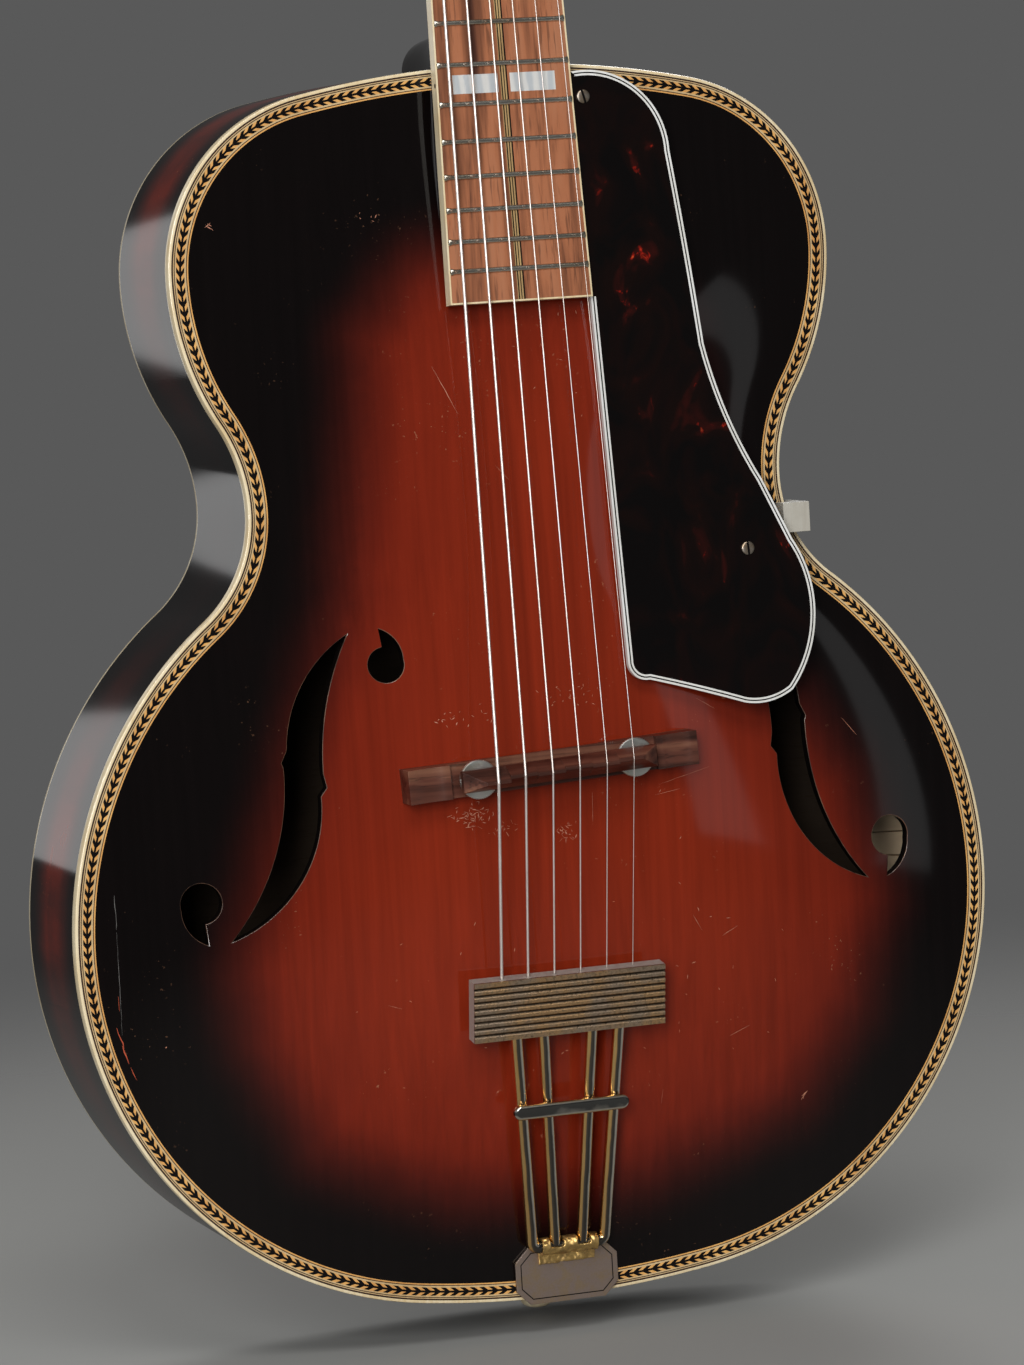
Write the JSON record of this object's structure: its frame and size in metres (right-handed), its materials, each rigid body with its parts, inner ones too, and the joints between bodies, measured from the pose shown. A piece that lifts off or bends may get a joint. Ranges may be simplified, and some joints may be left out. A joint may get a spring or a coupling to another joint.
{
  "type": "archtop guitar",
  "caption": "Acoustic archtop guitar with a carved sunburst top, split sound holes, adjustable wooden bridge, hinged rod tailpiece, raised pickguard and geared tuners.",
  "frame": {"origin": "at the tail, where the end pin meets the rims, half way between top and back", "axes": "+Z along the body towards the headstock, -Y out of the top, +X towards the treble side"},
  "size_m": [0.3988, 0.1377, 1.0448],
  "materials": {
    "spruce_top": "gloss sunburst lacquer",
    "back_wood": "gloss sunburst lacquer",
    "rim_wood": "gloss dark lacquer",
    "ivory_plastic": "polished",
    "marquetry": "inlaid, lacquered",
    "pale_wood": "bare",
    "neck_wood": "gloss black lacquer",
    "rosewood": "oiled",
    "veneer": "gloss",
    "pearl": "polished",
    "stripe": "polished",
    "bone": "satin",
    "nickel_silver": "polished",
    "nickel": "worn plating",
    "gilt": "worn gilt",
    "steel": "drawn wire",
    "tortoise": "polished",
    "edging": "polished",
    "clamp_plastic": "satin",
    "gear_brass": "machined",
    "button_plastic": "polished"
  },
  "bodies": {
    "guitar": {"top_plate": "spruce_top", "back_plate": "back_wood", "side_rims": "rim_wood", "top_binding": "ivory_plastic", "top_purfling": "marquetry", "back_binding": "ivory_plastic", "kerfed_linings": "pale_wood", "neck_block": "pale_wood", "tail_block": "pale_wood", "tone_bars": "pale_wood", "neck": "neck_wood", "fingerboard": "rosewood", "fingerboard_binding": "ivory_plastic", "fingerboard_stripe": "stripe", "position_inlays": "pearl", "frets": "nickel_silver", "nut": "bone", "headstock_veneer": "veneer", "bridge_base": "rosewood", "bridge_posts": "nickel", "hinge_sleeve": "gilt", "tailpiece_hanger": "nickel", "hanger_screws": "nickel", "end_pin": "ivory_plastic", "pickguard": "tortoise", "pickguard_binding": "edging", "pickguard_spacer": "clamp_plastic", "pickguard_bracket": "nickel", "pickguard_clamp": "clamp_plastic", "pickguard_screws": "nickel", "wound_strings": "steel", "plain_strings": "steel", "tuner_plates": "nickel", "tuner_screws": "nickel", "post_bushings": "nickel"},
    "saddle": {"bridge_saddle": "rosewood"},
    "wheel_bass": {"thumbwheel_bass": "nickel"},
    "wheel_treble": {"thumbwheel_treble": "nickel"},
    "tailpiece": {"tailpiece_bar": "nickel", "tailpiece_rods": "nickel", "tailpiece_crossbar": "nickel", "ball_ends": "gilt"},
    "key_1": {"worm_shaft_1": "nickel", "tuner_button_1": "button_plastic"},
    "post_1": {"string_post_1": "gear_brass"},
    "key_2": {"worm_shaft_2": "nickel", "tuner_button_2": "button_plastic"},
    "post_2": {"string_post_2": "gear_brass"},
    "key_3": {"worm_shaft_3": "nickel", "tuner_button_3": "button_plastic"},
    "post_3": {"string_post_3": "gear_brass"},
    "key_4": {"worm_shaft_4": "nickel", "tuner_button_4": "button_plastic"},
    "post_4": {"string_post_4": "gear_brass"},
    "key_5": {"worm_shaft_5": "nickel", "tuner_button_5": "button_plastic"},
    "post_5": {"string_post_5": "gear_brass"},
    "key_6": {"worm_shaft_6": "nickel", "tuner_button_6": "button_plastic"},
    "post_6": {"string_post_6": "gear_brass"}
  },
  "joints": [
    {"name": "saddle_lift", "type": "slide", "parent": "guitar", "child": "saddle", "axis": [0, -1, 0], "range_m": [-0.0012, 0.0024], "deforming": ["wound_strings", "plain_strings"]},
    {"name": "wheel_bass_turn", "type": "hinge", "parent": "saddle", "child": "wheel_bass", "pos_m": [-0.03396, -0.0625, 0.2219], "axis": [0, -1, 0], "range_deg": [-545, 1085]},
    {"name": "wheel_treble_turn", "type": "hinge", "parent": "saddle", "child": "wheel_treble", "pos_m": [0.03396, -0.0625, 0.2251], "axis": [0, -1, 0], "range_deg": [-545, 1085]},
    {"name": "tailpiece_swing", "type": "hinge", "parent": "guitar", "child": "tailpiece", "pos_m": [0, -0.04608, 0.023], "axis": [1, 0, 0], "range_deg": [-1, 3], "stiffness_Nm_per_rad": 40, "deforming": ["wound_strings", "plain_strings"]},
    {"name": "key_1_turn", "type": "hinge", "parent": "guitar", "child": "key_1", "pos_m": [-0.021, 0.01174, 0.91116], "axis": [1, 0, 0], "continuous": true},
    {"name": "post_1_turn", "type": "hinge", "parent": "guitar", "child": "post_1", "pos_m": [-0.021, -0.0081, 0.90823], "axis": [0, -0.9505, 0.3107], "continuous": true},
    {"name": "key_2_turn", "type": "hinge", "parent": "guitar", "child": "key_2", "pos_m": [-0.021, 0.02417, 0.94918], "axis": [1, 0, 0], "continuous": true},
    {"name": "post_2_turn", "type": "hinge", "parent": "guitar", "child": "post_2", "pos_m": [-0.021, 0.00432, 0.94625], "axis": [0, -0.9505, 0.3107], "continuous": true},
    {"name": "key_3_turn", "type": "hinge", "parent": "guitar", "child": "key_3", "pos_m": [-0.021, 0.03659, 0.9872], "axis": [1, 0, 0], "continuous": true},
    {"name": "post_3_turn", "type": "hinge", "parent": "guitar", "child": "post_3", "pos_m": [-0.021, 0.01675, 0.98427], "axis": [0, -0.9505, 0.3107], "continuous": true},
    {"name": "key_4_turn", "type": "hinge", "parent": "guitar", "child": "key_4", "pos_m": [0.021, 0.03659, 0.9872], "axis": [1, 0, 0], "continuous": true},
    {"name": "post_4_turn", "type": "hinge", "parent": "guitar", "child": "post_4", "pos_m": [0.021, 0.01675, 0.98427], "axis": [0, -0.9505, 0.3107], "continuous": true},
    {"name": "key_5_turn", "type": "hinge", "parent": "guitar", "child": "key_5", "pos_m": [0.021, 0.02417, 0.94918], "axis": [1, 0, 0], "continuous": true},
    {"name": "post_5_turn", "type": "hinge", "parent": "guitar", "child": "post_5", "pos_m": [0.021, 0.00432, 0.94625], "axis": [0, -0.9505, 0.3107], "continuous": true},
    {"name": "key_6_turn", "type": "hinge", "parent": "guitar", "child": "key_6", "pos_m": [0.021, 0.01174, 0.91116], "axis": [1, 0, 0], "continuous": true},
    {"name": "post_6_turn", "type": "hinge", "parent": "guitar", "child": "post_6", "pos_m": [0.021, -0.0081, 0.90823], "axis": [0, -0.9505, 0.3107], "continuous": true}
  ],
  "couplings": [
    {"joint": "wheel_bass_turn", "follows": "saddle_lift", "rad_per_m": 7854},
    {"joint": "wheel_treble_turn", "follows": "saddle_lift", "rad_per_m": 7854},
    {"joint": "post_1_turn", "follows": "key_1_turn", "ratio": 0.071429},
    {"joint": "post_2_turn", "follows": "key_2_turn", "ratio": 0.071429},
    {"joint": "post_3_turn", "follows": "key_3_turn", "ratio": 0.071429},
    {"joint": "post_4_turn", "follows": "key_4_turn", "ratio": 0.071429},
    {"joint": "post_5_turn", "follows": "key_5_turn", "ratio": 0.071429},
    {"joint": "post_6_turn", "follows": "key_6_turn", "ratio": 0.071429}
  ]
}
